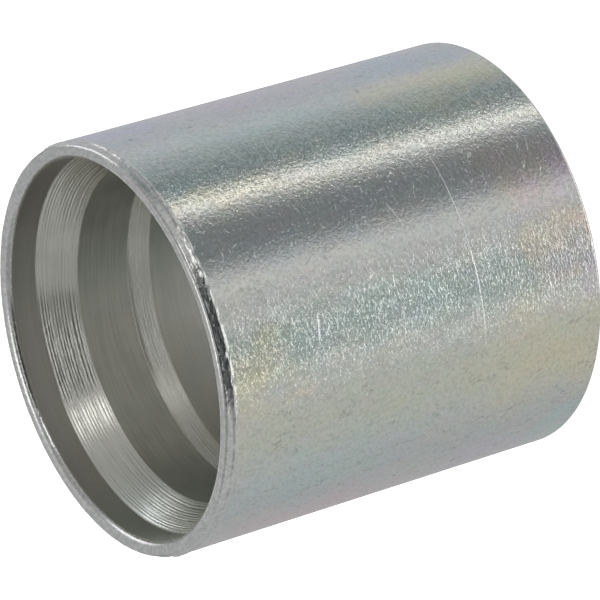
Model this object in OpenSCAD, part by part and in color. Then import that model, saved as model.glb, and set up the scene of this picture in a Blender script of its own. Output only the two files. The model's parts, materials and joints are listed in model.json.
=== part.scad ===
// Crimp ferrule for a wire-braided hydraulic hose, turned from steel in one piece.
// The axis is +Z. The collar end stands on Z = 0 and the hose enters at the top.

/* [Sleeve] */
// Length from the collar face to the lip
sleeve_length = 50.7; // [30:0.1:90]
// Wall from the tooth crests to the outside of the barrel
sleeve_wall = 4.35; // [3.2:0.05:8]
// Round on the outer edge at the collar end
base_round = 0.45; // [0.1:0.05:1.2]

/* [Mouth] */
// Wall at the mouth, where the counterbore thins it
mouth_wall = 1.9; // [1.4:0.05:3]
// Depth of the counterbore, from the lip to the lead-in cone
mouth_depth = 3.9; // [2:0.1:8]
// Length of the lead-in cone, from the counterbore to the first tooth
lead_length = 4.25; // [1:0.05:8]
// Bevel on the outer edge of the lip, along the axis
lip_bevel_length = 1.2; // [0.2:0.1:3]
// Bevel on the outer edge of the lip, across the wall
lip_bevel_depth = 0.35; // [0.1:0.05:0.9]
// Round on the inner edge of the lip
lip_round = 0.9; // [0.1:0.05:1.4]

/* [Teeth] */
// Diameter over the tooth crests, which grip the hose cover
crest_d = 39.3; // [36:0.1:60]
// Length of the straight crest of each tooth
crest_length = 6.75; // [2:0.05:10]
// Length of the groove behind each tooth, where its cone rises to the next crest
groove_length = 3.05; // [1:0.05:6]
// Depth of the groove below the crests
groove_depth = 1.75; // [0.4:0.05:2.6]
// Shortest straight recess between the last tooth and the collar
recess_min = 1.5; // [0.5:0.1:5]

/* [Collar] */
// Diameter of the collar bore, which locks in the groove of the hose stem
collar_d = 31.5; // [20:0.1:34]
// Length of the collar
collar_length = 4.4; // [2:0.1:8]
// Chamfer on both edges of the collar bore
collar_chamfer = 0.5; // [0.1:0.05:0.9]

/* [Hidden] */
$fn = 128;
// Reach of a cutting shape past the face that it cuts
over = 1;

crest_r = crest_d / 2;
barrel_r = crest_r + sleeve_wall;
mouth_r = barrel_r - mouth_wall;
groove_r = crest_r + groove_depth;
collar_r = collar_d / 2;

// Tooth rings from the lead-in cone down: as many as fit above the shortest recess
tooth_pitch = crest_length + groove_length;
first_crest_z = sleeve_length - mouth_depth - lead_length;
toothed_length = first_crest_z - collar_length - recess_min;
tooth_count = floor((toothed_length + groove_length) / tooth_pitch);

// Crest of one tooth and the radial wall behind it, as section points going down the bore
function tooth_section(top_z) = [
    [crest_r, top_z],
    [crest_r, top_z - crest_length],
    [groove_r, top_z - crest_length],
];

// Section of the hollow, from the axis at the mouth down to the axis at the collar face
bore_section = concat(
    [[0, sleeve_length + over],
     [mouth_r, sleeve_length + over],
     [mouth_r, sleeve_length - mouth_depth]],
    [for (i = [0 : tooth_count - 1]) each tooth_section(first_crest_z - i * tooth_pitch)],
    [[groove_r, collar_length],
     [collar_r + collar_chamfer, collar_length],
     [collar_r, collar_length - collar_chamfer],
     [collar_r, collar_chamfer],
     [collar_r + collar_chamfer, 0],
     [collar_r + collar_chamfer, -over],
     [0, -over]]
);

// Section of the solid bar, with the bevel of the lip
blank_section = [
    [0, 0],
    [barrel_r, 0],
    [barrel_r, sleeve_length - lip_bevel_length],
    [barrel_r - lip_bevel_depth, sleeve_length],
    [0, sleeve_length],
];

// What a round takes off a square edge whose corner is at the origin and points to +X +Y
module round_waste(radius) {
    difference() {
        translate([-radius, -radius]) square(radius + over);
        translate([-radius, -radius]) circle(radius);
    }
}

// The turned section, in the half plane right of the axis
module ferrule_section() {
    difference() {
        polygon(blank_section);
        polygon(bore_section);
        translate([barrel_r, 0]) mirror([0, 1]) round_waste(base_round);
        translate([mouth_r, sleeve_length]) mirror([1, 0]) round_waste(lip_round);
    }
}

module ferrule() {
    color([0.68, 0.69, 0.67]) rotate_extrude() ferrule_section();
}

ferrule();
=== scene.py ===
"""Looks of the crimp ferrule: one steel sleeve, turned and zinc plated, seen into its mouth."""
import json
import math
from collections import namedtuple

import bmesh
import bpy
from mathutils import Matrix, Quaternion, Vector, noise


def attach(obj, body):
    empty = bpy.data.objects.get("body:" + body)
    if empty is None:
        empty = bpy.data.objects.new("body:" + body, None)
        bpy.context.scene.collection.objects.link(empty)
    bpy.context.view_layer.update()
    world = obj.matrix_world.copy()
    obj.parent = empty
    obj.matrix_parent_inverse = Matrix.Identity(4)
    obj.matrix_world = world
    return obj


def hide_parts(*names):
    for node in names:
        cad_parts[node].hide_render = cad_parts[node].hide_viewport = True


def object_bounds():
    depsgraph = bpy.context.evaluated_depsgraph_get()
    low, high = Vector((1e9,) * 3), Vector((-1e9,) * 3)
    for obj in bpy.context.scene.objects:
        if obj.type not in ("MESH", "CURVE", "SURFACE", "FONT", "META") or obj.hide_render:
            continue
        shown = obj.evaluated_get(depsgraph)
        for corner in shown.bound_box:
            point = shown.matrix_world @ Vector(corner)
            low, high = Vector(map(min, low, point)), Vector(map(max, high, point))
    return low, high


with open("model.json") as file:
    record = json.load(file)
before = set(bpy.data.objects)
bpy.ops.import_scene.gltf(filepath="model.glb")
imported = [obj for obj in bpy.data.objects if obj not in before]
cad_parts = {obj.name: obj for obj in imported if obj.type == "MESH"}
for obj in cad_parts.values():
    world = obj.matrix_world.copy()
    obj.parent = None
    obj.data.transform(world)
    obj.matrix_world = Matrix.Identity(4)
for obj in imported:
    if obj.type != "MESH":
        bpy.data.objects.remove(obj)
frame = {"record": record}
cad_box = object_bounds()

MM = 0.001

# Sizes that the frame gives, in metres
mounts = {mount["name"]: mount for mount in frame["record"]["mounts"]}


def round_mount(name):
    """Radius, lowest z and highest z of a round mount."""
    size = mounts[name]["dims"]
    middle = mounts[name]["pos_m"][2]
    half = size["length_mm"] * MM / 2
    return size["r_mm"] * MM, middle - half, middle + half


barrel_r, base_round, barrel_top = round_mount("crimp_barrel")
crest_r, crest_low, crest_high = round_mount("hose_bore")
collar_r, collar_chamfer, collar_high = round_mount("collar_bore")
sleeve_length = cad_box[1].z
collar_length = collar_high + collar_chamfer

# Sizes of the mouth and the teeth
mouth_wall = 1.9 * MM
mouth_depth = 3.9 * MM
lip_bevel_depth = 0.35 * MM
lip_round = 0.9 * MM
crest_length = 6.75 * MM
groove_depth = 1.75 * MM
tooth_count = 4
mouth_r = barrel_r - mouth_wall
mouth_floor = sleeve_length - mouth_depth
groove_r = crest_r + groove_depth
tooth_pitch = (crest_high - crest_low - crest_length) / (tooth_count - 1)

# Small rounds of the edges, and the burr that the bevelling tool left on the edge of the barrel
edge_round = 0.08 * MM
bevel_round = 0.3 * MM
burr_band = 0.5 * MM
burr_width = 0.32 * MM
burr_height = 0.09 * MM
burr_length = 0.9 * MM
torn_height = 0.02 * MM

# Fineness of the mesh: steps round the axis, and rows along the surfaces that are not plain
sector_steps = 22
sector_count = 20
round_steps = 3
round_rows = 0.1 * MM
lip_rows = 0.1 * MM
cone_rows = 0.085 * MM

# Marks of the turning tool on the cones: feed from ridge to ridge, and height of the ridges
tool_feed = 0.37 * MM
lead_ridges = 0.022 * MM
tooth_ridges = 0.009 * MM

# A corner of the section, how far its round cuts back, and the rows and ridges of the stretch that follows
Corner = namedtuple("Corner", "r z cut_back rows ridges", defaults=(0, 0))


def section_corners():
    """Corners of the section, from the foot of the barrel over the lip and down the bore."""
    corners = [
        Corner(barrel_r, 0, base_round),
        Corner(barrel_r, barrel_top - burr_band, 0, lip_rows),
        Corner(barrel_r, barrel_top, edge_round, lip_rows),
        Corner(barrel_r - lip_bevel_depth, sleeve_length, bevel_round, lip_rows),
        Corner(mouth_r, sleeve_length, lip_round),
        Corner(mouth_r, mouth_floor, edge_round, cone_rows, lead_ridges),
    ]
    for tooth in range(tooth_count):
        top = crest_high - tooth * tooth_pitch
        foot = top - crest_length
        rows = cone_rows if tooth == 0 else 0
        corners += [
            Corner(crest_r, top, edge_round),
            Corner(crest_r, foot, edge_round),
            Corner(groove_r, foot, edge_round, rows, tooth_ridges),
        ]
    return corners + [
        Corner(groove_r, collar_length, edge_round),
        Corner(collar_r + collar_chamfer, collar_length, edge_round),
        Corner(collar_r, collar_high, edge_round),
        Corner(collar_r, collar_chamfer, edge_round),
        Corner(collar_r + collar_chamfer, 0, edge_round),
    ]


def ridge(length):
    """Height of the tool's marks at a length along the section, about -1 to 1: cusps of an uneven feed."""
    drift = noise.noise((length / (3 * tool_feed), 0.3, 0.7))
    weight = 0.6 + 0.9 * noise.noise((length / (1.6 * tool_feed), 5.1, 2.3))
    return weight * (1 - 2 * abs(math.sin(math.pi * (length / tool_feed + 0.8 * drift))))


def cut_rows(section, edge, corner):
    """Splits one straight stretch of the section into rows, and raises the tool's marks on them."""
    start, end = (vert.co.copy() for vert in edge.verts)
    if start.z < end.z:
        start, end = end, start
    run = end - start
    side = Vector((run.z, 0, -run.x)).normalized()
    made = bmesh.ops.subdivide_edges(section, edges=[edge], cuts=round(run.length / corner.rows))
    for vert in made["geom_inner"]:
        if isinstance(vert, bmesh.types.BMVert):
            vert.co += side * corner.ridges * ridge((vert.co - start).length + start.z)


def middle_of(edge):
    """Middle of an edge."""
    start, end = edge.verts
    return (start.co + end.co) / 2


def turned_section():
    """The closed section as a wire of edges in the XZ plane, with its corners rounded and its rows cut."""
    section = bmesh.new()
    corners = section_corners()
    verts = [section.verts.new((corner.r, 0, corner.z)) for corner in corners]
    middles = []
    for corner, follows, vert, end in zip(corners, corners[1:] + corners[:1], verts, verts[1:] + verts[:1]):
        along = (end.co - vert.co).normalized()
        middles.append((vert.co + end.co + along * (corner.cut_back - follows.cut_back)) / 2)
        section.edges.new((vert, end))
    for vert, corner in zip(verts, corners):
        if corner.cut_back:
            steps = max(round_steps, round(corner.cut_back / round_rows))
            bmesh.ops.bevel(section, geom=[vert], offset=corner.cut_back, affect="VERTICES",
                            segments=steps, profile=0.5, material=-1)
    stretches = []
    for corner, middle in zip(corners, middles):
        if not corner.rows:
            continue
        nearest = min(section.edges, key=lambda edge: (middle_of(edge) - middle).length)
        stretches.append((nearest, corner))
    for edge, corner in stretches:
        cut_rows(section, edge, corner)
    return section


def burr(place):
    """Unevenness that the bevelling tool left at the lip, about -1 to 1."""
    long_wave = noise.noise(place / burr_length)
    short_wave = noise.noise(place * 2.3 / burr_length + Vector((7, 3, 1)))
    return long_wave + 0.6 * short_wave


def lip_lift(place):
    """How far the metal of the lip stands out of its turned form: torn all over, burred on the edge."""
    radius = math.hypot(place.x, place.y)
    into_lip = min((place.z - barrel_top + burr_band) / burr_band, (radius - mouth_r) / lip_round, 1)
    if into_lip <= 0:
        return 0
    off_edge = math.hypot(radius - barrel_r, place.z - barrel_top)
    ridge_share = max(0, 1 - off_edge / burr_width)
    uneven = burr(place)
    return torn_height * into_lip * uneven + burr_height * ridge_share * (0.7 + uneven)


def sleeve_finish(face):
    """Number of the finish that a face has: 0 on the barrel, 1 on the lip and 2 in the bore."""
    middle = face.calc_center_median()
    radius = math.hypot(middle.x, middle.y)
    if middle.z > barrel_top - burr_width and radius > mouth_r + edge_round / 4:
        return 1
    if radius > barrel_r - base_round:
        return 0
    return 2


def turned_sleeve(finishes):
    """The sleeve: its section spun round the axis, with a burred lip."""
    sleeve = turned_section()
    axis = {"cent": (0, 0, 0), "axis": (0, 0, 1)}
    sector = math.tau / sector_count
    bmesh.ops.spin(sleeve, geom=sleeve.verts[:] + sleeve.edges[:], angle=sector, steps=sector_steps, **axis)
    bmesh.ops.spin(sleeve, geom=sleeve.verts[:] + sleeve.edges[:] + sleeve.faces[:], use_duplicate=True,
                   angle=math.tau - sector, steps=sector_count - 1, **axis)
    bmesh.ops.remove_doubles(sleeve, verts=sleeve.verts[:], dist=0.001 * MM)
    bmesh.ops.recalc_face_normals(sleeve, faces=sleeve.faces[:])
    sleeve.normal_update()
    for vert in sleeve.verts:
        vert.co += vert.normal * lip_lift(vert.co)
    for face in sleeve.faces:
        face.smooth = True
        face.material_index = sleeve_finish(face)
    mesh = bpy.data.meshes.new("ferrule_sleeve")
    sleeve.to_mesh(mesh)
    sleeve.free()
    for finish in finishes:
        mesh.materials.append(finish)
    piece = bpy.data.objects.new("ferrule_sleeve", mesh)
    bpy.context.collection.objects.link(piece)
    flats = piece.modifiers.new("flat_faces", "WEIGHTED_NORMAL")
    flats.weight = 50
    return piece


class Wire:
    """One output of a shader node. Arithmetic on it adds Math nodes to its tree."""

    def __init__(self, tree, socket=None):
        self.tree = tree
        self.socket = socket

    def node(self, kind, settings=None, inputs=None, output=0):
        """Adds a node: its type, its settings, set first, and the values or links of its sockets."""
        made = self.tree.nodes.new(kind)
        for name, value in (settings or {}).items():
            if name == "stops":
                set_stops(made.color_ramp, value)
            else:
                setattr(made, name, value)
        for name, value in (inputs or {}).items():
            socket = made.inputs[name]
            if isinstance(value, Wire):
                self.tree.links.new(value.socket, socket)
            elif socket.type == "RGBA":
                socket.default_value = (*value, 1)
            else:
                socket.default_value = value
        return Wire(self.tree, made.outputs[output] if made.outputs else None)

    def math(self, operation, *values):
        """A number worked out from others by a Math operation."""
        return self.node("ShaderNodeMath", {"operation": operation}, dict(enumerate(values)))

    def __add__(self, other):
        return self.math("ADD", self, other)

    def __radd__(self, other):
        return self.math("ADD", other, self)

    def __sub__(self, other):
        return self.math("SUBTRACT", self, other)

    def __rsub__(self, other):
        return self.math("SUBTRACT", other, self)

    def __mul__(self, other):
        return self.math("MULTIPLY", self, other)

    def __rmul__(self, other):
        return self.math("MULTIPLY", other, self)

    def __pow__(self, other):
        return self.math("POWER", self, other)

    def __abs__(self):
        return self.math("ABSOLUTE", self)

    def other(self, output):
        """Another output of the same node."""
        return Wire(self.tree, self.socket.node.outputs[output])

    def fade(self, zero_at, one_at):
        """0 at one value and 1 at another, with a soft change between them."""
        return self.node("ShaderNodeMapRange", {"interpolation_type": "SMOOTHSTEP"},
                         {"Value": self, "From Min": zero_at, "From Max": one_at})

    def band(self, start, full, still_full, end):
        """1 between two values and 0 outside two others, with a soft change on both sides."""
        return self.fade(start, full) * self.fade(end, still_full)

    def stretched(self, x, y, z):
        """A vector with its three parts scaled."""
        return self.node("ShaderNodeVectorMath", {"operation": "MULTIPLY"}, {0: self, 1: (x, y, z)})

    def parts(self):
        """The three parts of a vector."""
        split = self.node("ShaderNodeSeparateXYZ", None, {0: self})
        return [split.other(part) for part in range(3)]

    def moved(self, operation, other):
        """A vector joined with another by a Vector Math operation."""
        return self.node("ShaderNodeVectorMath", {"operation": operation}, {0: self, 1: other})

    def measured(self, operation, other=(0, 0, 0)):
        """A number worked out from a vector, or from two, by a Vector Math operation."""
        return self.node("ShaderNodeVectorMath", {"operation": operation},
                         {0: self, 1: other}, output="Value")

    def grain(self, scale, detail=2.0, roughness=0.5):
        """Noise at a place, with an even spread about zero."""
        return self.node("ShaderNodeTexNoise", None, {
            "Vector": self, "Scale": scale, "Detail": detail, "Roughness": roughness}) - 0.5

    def swirl(self, scale, detail=2.0, roughness=0.5):
        """A vector or a colour of noise at a place, with an even spread about zero."""
        made = self.node("ShaderNodeTexNoise", None, {
            "Vector": self, "Scale": scale, "Detail": detail, "Roughness": roughness}, output="Color")
        return made.moved("SUBTRACT", (0.5, 0.5, 0.5))

    def tinted(self, factor, colour):
        """A colour with another laid over it by a factor."""
        return self.node("ShaderNodeMix", {"data_type": "RGBA"}, {0: factor, 6: self, 7: colour}, output=2)

    def ramp(self, stops):
        """A colour read from a ramp of places and colours."""
        return self.node("ShaderNodeValToRGB", {"stops": stops}, {0: self})


def set_stops(ramp, stops):
    """Gives a colour ramp its places and colours."""
    while len(ramp.elements) > 1:
        ramp.elements.remove(ramp.elements[-1])
    for number, (place, colour) in enumerate(stops):
        element = ramp.elements[0] if number == 0 else ramp.elements.new(place)
        element.position = place
        element.color = (*colour, 1)


def new_finish(name):
    """A material with an empty tree, and the place on the piece in millimetres."""
    material = bpy.data.materials.new(name)
    material.use_nodes = True
    material.node_tree.nodes.clear()
    place = Wire(material.node_tree).node("ShaderNodeTexCoord", output="Object")
    return material, place.stretched(1 / MM, 1 / MM, 1 / MM)


# Haze of the metal: its share of the surface, and how much rougher it is than the clear metal
haze_share = 0.27
haze_roughness = 0.16


def metal(colour, roughness, height):
    """Ends a tree in bare metal under a faint haze, with a height in millimetres as its relief."""
    relief = height.node("ShaderNodeBump", None, {"Strength": 1.0, "Distance": MM, "Height": height})
    layers = []
    for level in (roughness, roughness + haze_roughness):
        layers.append(colour.node("ShaderNodeBsdfPrincipled", None, {
            "Base Color": colour, "Metallic": 1.0, "Roughness": level, "Normal": relief}))
    clear, haze = layers
    both = colour.node("ShaderNodeMixShader", None, {0: haze_share, 1: clear, 2: haze})
    colour.node("ShaderNodeOutputMaterial", None, {"Surface": both})


def unrolled(place):
    """Places on the barrel laid flat: along the round first, then along the axis, in millimetres."""
    x, y, z = place.parts()
    around = x.math("ARCTAN2", x, 0 - y) * (barrel_r / MM)
    return place.node("ShaderNodeCombineXYZ", None, {0: around, 1: z})


# Marks strewn over a surface: the cell that holds one, their length and width in millimetres, their slant
# from the round and how far it swings, in degrees, the share of the cells that have one, and their depth in
# millimetres
Strokes = namedtuple("Strokes", "cell length width slant swing share depth", defaults=(0,))
tumble_nicks = Strokes(0.5, 0.65, 0.13, 8, 55, 0.7, 0.012)
curls = Strokes(1.25, 1.4, 0.14, 0, 90, 0.5, 0.012)
handling_nicks = Strokes(3.6, 2.6, 0.26, 12, 45, 0.3, 0.02)
blisters = Strokes(0.7, 0.3, 0.3, 0, 0, 0.55, 0.012)
stains = Strokes(2.4, 0.16, 2.4, 0, 30, 0.3)
flecks = Strokes(0.8, 0.2, 0.5, 0, 70, 0.5)


def strewn(sheet, strokes):
    """Short marks strewn over the unrolled surface: 1 in the middle of each and 0 beside it."""
    point = sheet.node("ShaderNodeTexVoronoi", {"voronoi_dimensions": "2D"},
                       {"Vector": sheet, "Scale": 1 / strokes.cell}, output="Position")
    swing, chance, weight = point.other("Color").parts()
    turn = (swing - 0.5) * math.radians(2 * strokes.swing) + math.radians(strokes.slant)
    turned = sheet.node("ShaderNodeVectorRotate", {"rotation_type": "Z_AXIS"},
                        {"Vector": sheet.moved("SUBTRACT", point), "Angle": turn})
    off = turned.stretched(2 / strokes.length, 2 / strokes.width, 0).measured("LENGTH")
    present = chance.math("LESS_THAN", chance, strokes.share)
    return off.fade(1, 0) * present * (weight * 0.7 + 0.3)


# Single scratches: where each starts and ends, round the barrel from the camera's side and up the axis, and
# its width and depth, all in millimetres, and how far its ends fade out
Scratch = namedtuple("Scratch", "around z end_around end_z width depth")
scratch_fade = 0.6
scratches = (
    Scratch(-12.2, 16.15, 16.4, 16.4, 0.15, 0.012),
    Scratch(3.9, 23.4, 7.4, 24.5, 0.16, 0.014),
    Scratch(-5.6, 37.8, -2.1, 37.3, 0.3, 0.02),
    Scratch(-2.2, 27.0, -0.4, 26.8, 0.18, 0.014),
    Scratch(17.8, 33.85, 20.4, 33.25, 0.13, 0.01),
    Scratch(15.7, 20.1, 16.8, 19.2, 0.2, 0.012),
    Scratch(15.9, 31.9, 16.1, 33.4, 0.15, 0.01),
    Scratch(13.4, 31.8, 13.1, 30.6, 0.16, 0.012),
    Scratch(-8.3, 35.2, -6.9, 35.0, 0.16, 0.012),
)


def scored(sheet, scratch):
    """One scratch on the unrolled surface: 1 along its middle and 0 beside it."""
    start = Vector((scratch.around, scratch.z, 0))
    run = Vector((scratch.end_around, scratch.end_z, 0)) - start
    ahead = run.normalized()
    aside = Vector((-ahead.y, ahead.x, 0))
    place = sheet.moved("SUBTRACT", start)
    along = place.measured("DOT_PRODUCT", ahead)
    beside = place.measured("DOT_PRODUCT", aside)
    ends = along.band(0, scratch_fade, run.length - scratch_fade, run.length)
    return abs(beside).fade(scratch.width / 2, 0) * ends


# Colours across the barrel as the camera sees it, from its lower edge, 0, to its upper edge, 1: the film's
# tint with painted colour of the reflections, yellow under the highlight, blue and teal by the dark bands
film_and_reflection_stops = [
    (0.0, (0.70, 0.685, 0.71)),
    (0.02, (0.71, 0.685, 0.70)),
    (0.07, (0.665, 0.70, 0.695)),
    (0.13, (0.67, 0.70, 0.675)),
    (0.22, (0.70, 0.72, 0.645)),
    (0.32, (0.695, 0.705, 0.68)),
    (0.41, (0.655, 0.72, 0.695)),
    (0.49, (0.70, 0.705, 0.675)),
    (0.56, (0.70, 0.695, 0.68)),
    (0.66, (0.655, 0.70, 0.71)),
    (0.77, (0.72, 0.71, 0.665)),
    (0.83, (0.64, 0.71, 0.71)),
    (0.90, (0.66, 0.695, 0.705)),
    (0.955, (0.66, 0.69, 0.725)),
    (1.0, (0.705, 0.69, 0.735)),
]


# Clouds of thicker film: the middle of each, round the barrel from the camera's side and up the axis, its
# half size both ways, all in millimetres, its colour and how much of that shows
Cloud = namedtuple("Cloud", "around z half_around half_z colour share")
film_clouds = (
    Cloud(22, 33, 5, 14, (0.61, 0.715, 0.71), 0.72),
    Cloud(22, 8, 5, 11, (0.79, 0.75, 0.58), 0.84),
    # This cloud lies along the highlight: it paints the highlight's yellow colour on the zinc
    Cloud(13.5, 42, 2.5, 13, (0.79, 0.755, 0.60), 0.84),
    Cloud(6, 5, 5, 8, (0.80, 0.69, 0.60), 0.84),
    Cloud(5, 2, 5, 6, (0.74, 0.63, 0.76), 0.9),
    Cloud(-2, 5, 4, 5, (0.81, 0.70, 0.60), 0.9),
    Cloud(-6, 1, 5, 5, (0.73, 0.645, 0.74), 0.7),
    Cloud(-4, 28, 3, 14, (0.62, 0.72, 0.70), 0.6),
    Cloud(-8, 47, 6, 6, (0.80, 0.75, 0.58), 0.96),
    Cloud(-15.5, 5, 8, 16, (0.785, 0.74, 0.585), 0.96),
    Cloud(-14.5, 24, 4, 10, (0.725, 0.735, 0.63), 0.6),
    Cloud(-23, 37, 6, 12, (0.61, 0.72, 0.715), 0.84),
    Cloud(-33, 35, 5, 13, (0.79, 0.64, 0.67), 1.0),
    Cloud(-31, 14, 5, 6, (0.69, 0.65, 0.76), 0.72),
    Cloud(-29, 3, 6, 5, (0.57, 0.745, 0.72), 0.96),
    Cloud(33, 46, 5, 6, (0.62, 0.63, 0.82), 0.96),
    Cloud(33, 31, 5, 10, (0.76, 0.64, 0.75), 0.84),
    Cloud(31, 9, 7, 8, (0.58, 0.685, 0.79), 0.96),
)
# How far the clouds wander from their plain form, in millimetres
film_drift = 13.0


def film_and_reflection_tint(place, sheet):
    """Colour of the passivated film with painted colour of the reflections: bands along the barrel, with
    clouds of thicker film over them.
    """
    across = place.parts()[0] * (MM / barrel_r / 2) + 0.5
    tint = (across + place.stretched(1, 1, 0.5).grain(0.2, 2.0) * 0.1).ramp(film_and_reflection_stops)
    drifted = sheet.moved("ADD", sheet.swirl(0.13, 3.0).stretched(film_drift, 2 * film_drift, 0))
    for cloud in film_clouds:
        off = drifted.moved("SUBTRACT", (cloud.around, cloud.z, 0))
        off = off.stretched(1 / cloud.half_around, 1 / cloud.half_z, 0).measured("LENGTH")
        tint = tint.tinted(off.fade(1.25, 0) * cloud.share, cloud.colour)
    return tint


# Relief of the barrel, in millimetres: its sandy grain and its long waves
sand_height = 0.031
wave_height = 0.05

# Zinc of the barrel: its roughness, and its colours: dull and bright grain, which also paints sparkle in
# the highlight, stains, and the painted glints of nicks and of bare scratches
zinc_roughness = 0.12
dull_zinc = (0.47, 0.48, 0.46)
bright_zinc = (0.86, 0.87, 0.85)
stained_zinc = (0.34, 0.34, 0.32)
nick_glint_zinc = (0.97, 0.97, 0.95)
scratch_and_glint_zinc = (0.96, 0.96, 0.94)


def barrel_stains(place, bent, sand):
    """Stains of the zinc, 0 to 1: winding trails, blots and flecks, fainter round the back."""
    long = place.stretched(1, 1, 0.5)
    trail = abs(long.grain(0.4, 3.0, 0.6)).fade(0.03, 0) * long.grain(0.6).fade(0.0, 0.12)
    stain = trail * sand.fade(-0.15, 0.1) + strewn(bent, stains) * 0.7 + strewn(bent, flecks) * 0.35
    front = place.parts()[1].fade(10, -2)
    return stain * (front * 0.6 + 0.4)


def plated_barrel():
    """Bright zinc on the barrel: a thin film that shifts in tint, over sandy metal with many marks."""
    material, place = new_finish("plated_barrel")
    sheet = unrolled(place)
    around = sheet.parts()[0]
    long = place.stretched(1, 1, 0.5)
    bent = sheet.moved("ADD", sheet.swirl(1.1).stretched(0.9, 0.9, 0))
    # Stretches round the barrel, in millimetres from the camera's side
    low = around.fade(5, 0)
    high = around.band(13, 16, 22, 27)
    # Band on the camera's side where marks are painted bright as glints, and where stains are fewer
    glint_and_wear_band = around.band(-12.5, -9, 22, 27)
    # The band where the studio's highlight falls on the barrel
    highlight_band = around.band(10, 13, 17, 23)
    # Grain and marks
    sand = place.grain(2.4, 3.0, 0.6)
    gathered = long.grain(0.5, 3.0).fade(-0.15, 0.15)
    strokes = place.stretched(1.4, 1.4, 4.0).grain(1.0, 2.0)
    nicks = strewn(sheet, tumble_nicks) * (low * 0.7 + high * 0.6 + 0.3) * (gathered * 0.5 + 0.65)
    curled = strewn(bent, curls)
    blistered = strewn(sheet, blisters)
    handled = strewn(sheet, handling_nicks)
    stain = barrel_stains(place, bent, sand) * (1 - glint_and_wear_band * 0.4)
    # Relief
    height = sand * sand_height + long.grain(0.12, 1.0) * wave_height
    height = height + strokes * (low * (gathered * 0.016 + 0.018) + high * 0.018 + 0.012)
    height = height - nicks * tumble_nicks.depth - curled * curls.depth
    height = height - blistered * blisters.depth - handled * handling_nicks.depth
    score = 0
    for scratch in scratches:
        line = scored(sheet, scratch)
        height = height - line * (1 - highlight_band * 0.8) * scratch.depth
        score = score + line
    # Colour
    # Painted glints: nicks, curls and blisters lit bright in the band on the camera's side
    nick_glints = (nicks * 0.6 + curled * 0.5 + blistered * 0.8) * glint_and_wear_band * 0.75
    # Scratches show as bare light zinc, painted brighter in the highlight band as a glint along them
    scratch_bare_and_glint = score * (sand.fade(-0.25, 0.15) + highlight_band) * (low * 0.6 + highlight_band * 0.75 + 0.25)
    tint = film_and_reflection_tint(place, sheet).moved("ADD", long.swirl(0.45, 5.0, 0.65).stretched(0.18, 0.12, 0.18))
    # Dark and bright speckle of the grain, painted stronger in the highlight band as sparkle
    tint = tint.tinted(sand.fade(-0.05, 0.25) * (highlight_band * 0.4 + 0.5), dull_zinc)
    tint = tint.tinted(sand.fade(0.05, -0.25) * (highlight_band * 0.5 + 0.4), bright_zinc)
    tint = tint.tinted(stain * 0.6, stained_zinc)
    tint = tint.tinted(nick_glints, nick_glint_zinc)
    tint = tint.tinted(scratch_bare_and_glint, scratch_and_glint_zinc)
    metal(tint, zinc_roughness + stain * 0.1, height)
    return material


# Torn metal of the lip: its colours, dark and bright, and its relief in millimetres
dark_tear = (0.58, 0.59, 0.59)
bright_tear = (0.80, 0.80, 0.79)
tear_height = 0.035


def broken_lip():
    """The lip, where the bevelling tool left bright torn metal."""
    material, place = new_finish("broken_lip")
    torn = place.grain(2.2, 3.0, 0.6)
    colour = torn.fade(-0.2, 0.2).ramp([(0.0, dark_tear), (1.0, bright_tear)])
    metal(colour, 0.14 + torn * 0.1, torn * tear_height)
    return material


# Colours of the bore: thin and sound plating, the counterbore, painted shade by the lip's edge and in the
# depth, and a painted reflection tint on one side
thin_plating = (0.685, 0.68, 0.64)
sound_plating = (0.835, 0.83, 0.78)
counterbore_tint = (0.68, 0.62, 0.60)
lip_edge_shade = (0.55, 0.51, 0.51)
deep_shade = (0.61, 0.605, 0.57)
side_reflection_tint = (0.74, 0.81, 0.77)

# Relief of the bore, in millimetres: the circles of the tool, and the tears that it left on the cones
circle_height = 0.013
cone_tear_height = 0.018


def turned_bore():
    """The bore: fine circles of the turning tool, under a thin and uneven plating, with painted shade by
    the lip and in the depth.
    """
    material, place = new_finish("turned_bore")
    x, y, z = place.parts()
    radius = (x * x + y * y) ** 0.5
    along = (radius + z) * 4.5
    circles = place.node("ShaderNodeCombineXYZ", None, {0: x, 1: y, 2: along})
    lines = circles.stretched(0.12, 0.12, 1).grain(1.0, 3.0, 0.65)
    tears = circles.stretched(0.4, 0.4, 1.5).grain(1.0, 2.0, 0.6)
    cloud = place.grain(0.25, 2.0)
    # Stretches along the bore, in millimetres
    step = mouth_floor / MM
    first_crest = crest_high / MM
    second_crest = first_crest - tooth_pitch / MM
    counterbore = z.fade(step - 0.1, step + 0.1)
    near_lip = z.fade(step + 1, sleeve_length / MM - 0.6)
    deep = z.fade(second_crest + 0.75, second_crest - 1.25)
    by_mouth = z.fade(first_crest - crest_length / MM, first_crest)
    cone = radius.band(crest_r / MM + 0.05, crest_r / MM + 0.2, mouth_r / MM - 0.2, mouth_r / MM - 0.05)
    # Colour and finish
    colour = (cloud + lines * 2.0).fade(-0.4, 0.4).ramp([(0.0, thin_plating), (1.0, sound_plating)])
    colour = colour.tinted(counterbore * (cloud + 0.5), counterbore_tint)
    # Painted shade: the counterbore darker towards the lip's inner edge
    colour = colour.tinted(near_lip * (lines * 2 + 0.5), lip_edge_shade)
    # Painted shade: the bore darker deep inside, past the second crest
    colour = colour.tinted(deep * 0.6, deep_shade)
    # Painted reflection: a greenish tint on the side of the bore at negative x
    colour = colour.tinted(x.fade(-12, -19) * 0.75, side_reflection_tint)
    roughness = 0.30 - cone * (by_mouth * 0.09 + 0.04) + lines * 0.1
    metal(colour, roughness, lines * circle_height + tears * cone * cone_tear_height)
    return material


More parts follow.
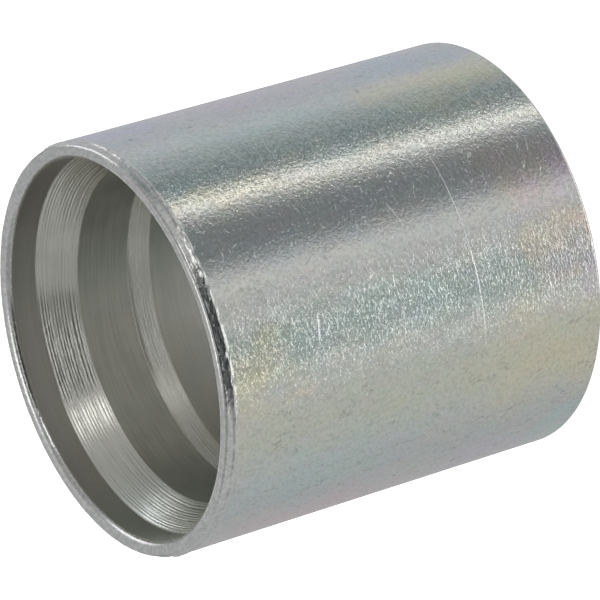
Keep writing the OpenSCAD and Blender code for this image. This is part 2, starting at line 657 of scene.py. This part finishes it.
# Panels of the studio: middle azimuth from the camera's side, half width, lowest and highest elevation,
# softness of the edge, all in degrees, and light
Panel = namedtuple("Panel", "azimuth half low high edge light")
sky_light = (0.54, 0.55, 0.545)
panels = (
    Panel(180, 75, -60, 45, 20, (0.47, 0.475, 0.475)),
    Panel(0, 105, 10, 62, 8, (0.36, 0.36, 0.35)),
    Panel(0, 180, 76, 90, 5, (1.7, 1.7, 1.66)),
    Panel(-8, 24, 46, 62, 4, (0.05, 0.06, 0.065)),
    Panel(-8, 30, 35, 45, 3, (1.0, 1.0, 0.97)),
    Panel(-6, 38, -2, 31, 3, (0.02, 0.022, 0.024)),
    Panel(-36, 10, 22, 40, 6, (0.20, 0.20, 0.19)),
    Panel(34, 9, 10, 27, 4, (1.9, 1.9, 1.84)),
    Panel(124, 18, 0, 20, 7, (1.55, 1.53, 1.59)),
    Panel(41, 15, -39, -17, 5, (0.185, 0.195, 0.20)),
    Panel(97, 7, -39, 2, 6, (0.37, 0.41, 0.41)),
    Panel(79.5, 10.5, -39, 2, 5, (0.215, 0.255, 0.255)),
    Panel(116, 12, -45, -14, 6, (0.60, 0.61, 0.62)),
    Panel(65.5, 1.1, -46, -14, 1.0, (3.5, 3.47, 3.33)),
    Panel(14.5, 3.2, -45, -10, 4, (0.84, 0.85, 0.82)),
    Panel(5.5, 1.5, -40, -16, 3, (0.40, 0.42, 0.42)),
    Panel(-20, 14, -36, -20, 6, (0.26, 0.305, 0.30)),
    Panel(-43, 6, -45, -10, 6, (0.52, 0.53, 0.50)),
    Panel(-26, 26, -16, -8, 3, (1.85, 1.85, 1.8)),
    Panel(-27, 27, -52, -42, 3, (1.7, 1.7, 1.65)),
    Panel(150, 25, -60, 0, 14, (0.53, 0.54, 0.56)),
    Panel(-70, 18, -60, 0, 10, (0.54, 0.55, 0.53)),
    Panel(0, 180, -90, -62, 8, (0.52, 0.52, 0.48)),
    Panel(-2, 50, -74, -56, 4, (1.6, 1.6, 1.55)),
    Panel(158, 6, -16, 6, 4, (0.20, 0.21, 0.21)),
    Panel(180, 9, -16, 6, 4, (1.1, 1.1, 1.07)),
    Panel(-158, 6, -16, 6, 4, (0.22, 0.23, 0.23)),
)


def studio_sky():
    """A studio of soft panels as the world, plain white where the camera looks past the floor."""
    world = bpy.data.worlds.new("studio")
    world.use_nodes = True
    world.node_tree.nodes.clear()
    tree = Wire(world.node_tree)
    x, y, z = tree.node("ShaderNodeTexCoord", output="Generated").parts()
    to_degrees = math.degrees(1)
    heading = x.math("ARCTAN2", x, 0 - y) * to_degrees
    rise = z.math("ARCSINE", z) * to_degrees
    sky = tree.node("ShaderNodeRGB")
    sky.socket.default_value = (*sky_light, 1)
    for panel in panels:
        inside = rise.band(panel.low - panel.edge, panel.low + panel.edge,
                           panel.high - panel.edge, panel.high + panel.edge)
        if panel.half < 180:
            turn = heading - panel.azimuth
            off = abs(turn.math("WRAP", turn, 180, -180))
            inside = inside * off.fade(panel.half + panel.edge, panel.half - panel.edge)
        sky = sky.tinted(inside, panel.light)
    camera_ray = tree.node("ShaderNodeLightPath", output="Is Camera Ray")
    sky = sky.tinted(camera_ray, (1, 1, 1))
    light = tree.node("ShaderNodeBackground", None, {"Color": sky, "Strength": 1.0})
    tree.node("ShaderNodeOutputWorld", None, {"Surface": light})
    bpy.context.scene.world = world


# Floor: half its size and how far it lies below the part, in metres, its colour and its glow
floor_half = 2.0
floor_drop = 0.05 * MM
floor_colour = (0.9, 0.9, 0.9)
floor_glow = 0.9


def studio_floor():
    """A plain pale floor, which the metal doesn't mirror."""
    paper = bmesh.new()
    bmesh.ops.create_grid(paper, x_segments=1, y_segments=1, size=floor_half)
    bmesh.ops.translate(paper, verts=paper.verts[:], vec=(0, 0, -floor_drop))
    mesh = bpy.data.meshes.new("floor")
    paper.to_mesh(mesh)
    paper.free()
    material = bpy.data.materials.new("floor")
    material.use_nodes = True
    shader = material.node_tree.nodes["Principled BSDF"]
    shader.inputs["Base Color"].default_value = (*floor_colour, 1)
    shader.inputs["Roughness"].default_value = 1.0
    shader.inputs["Specular IOR Level"].default_value = 0.0
    shader.inputs["Emission Color"].default_value = (1, 1, 1, 1)
    shader.inputs["Emission Strength"].default_value = floor_glow
    mesh.materials.append(material)
    floor = bpy.data.objects.new("floor", mesh)
    bpy.context.collection.objects.link(floor)
    floor.visible_glossy = False
    floor.visible_diffuse = False
    floor.visible_transmission = False
    floor.visible_shadow = False


# Camera: the point it looks at, its distance, its angle over the horizon, its turn, its roll and its lens
camera_aim = Vector((-0.49 * MM, 0, 25.13 * MM))
camera_distance = 589.5 * MM
camera_elevation = math.radians(30.17)
camera_turn = math.radians(0.055)
camera_roll = math.radians(-106.5)
camera_lens = 310.3


def photo_camera():
    """The camera that sees the sleeve as the photograph does, lying with its mouth to the lower left."""
    flat = math.cos(camera_elevation)
    back = Vector((flat * math.sin(camera_turn), -flat * math.cos(camera_turn), math.sin(camera_elevation)))
    data = bpy.data.cameras.new("camera")
    data.lens = camera_lens
    camera = bpy.data.objects.new("camera", data)
    camera.location = camera_aim + back * camera_distance
    camera.rotation_mode = "QUATERNION"
    camera.rotation_quaternion = (-back).to_track_quat("-Z", "Y") @ Quaternion((0, 0, 1), camera_roll)
    bpy.context.collection.objects.link(camera)
    bpy.context.scene.camera = camera


photo_camera()
studio_sky()
studio_floor()
bpy.context.scene.view_settings.view_transform = "Standard"

sleeve = turned_sleeve([plated_barrel(), broken_lip(), turned_bore()])
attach(sleeve, "root")
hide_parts("ferrule")
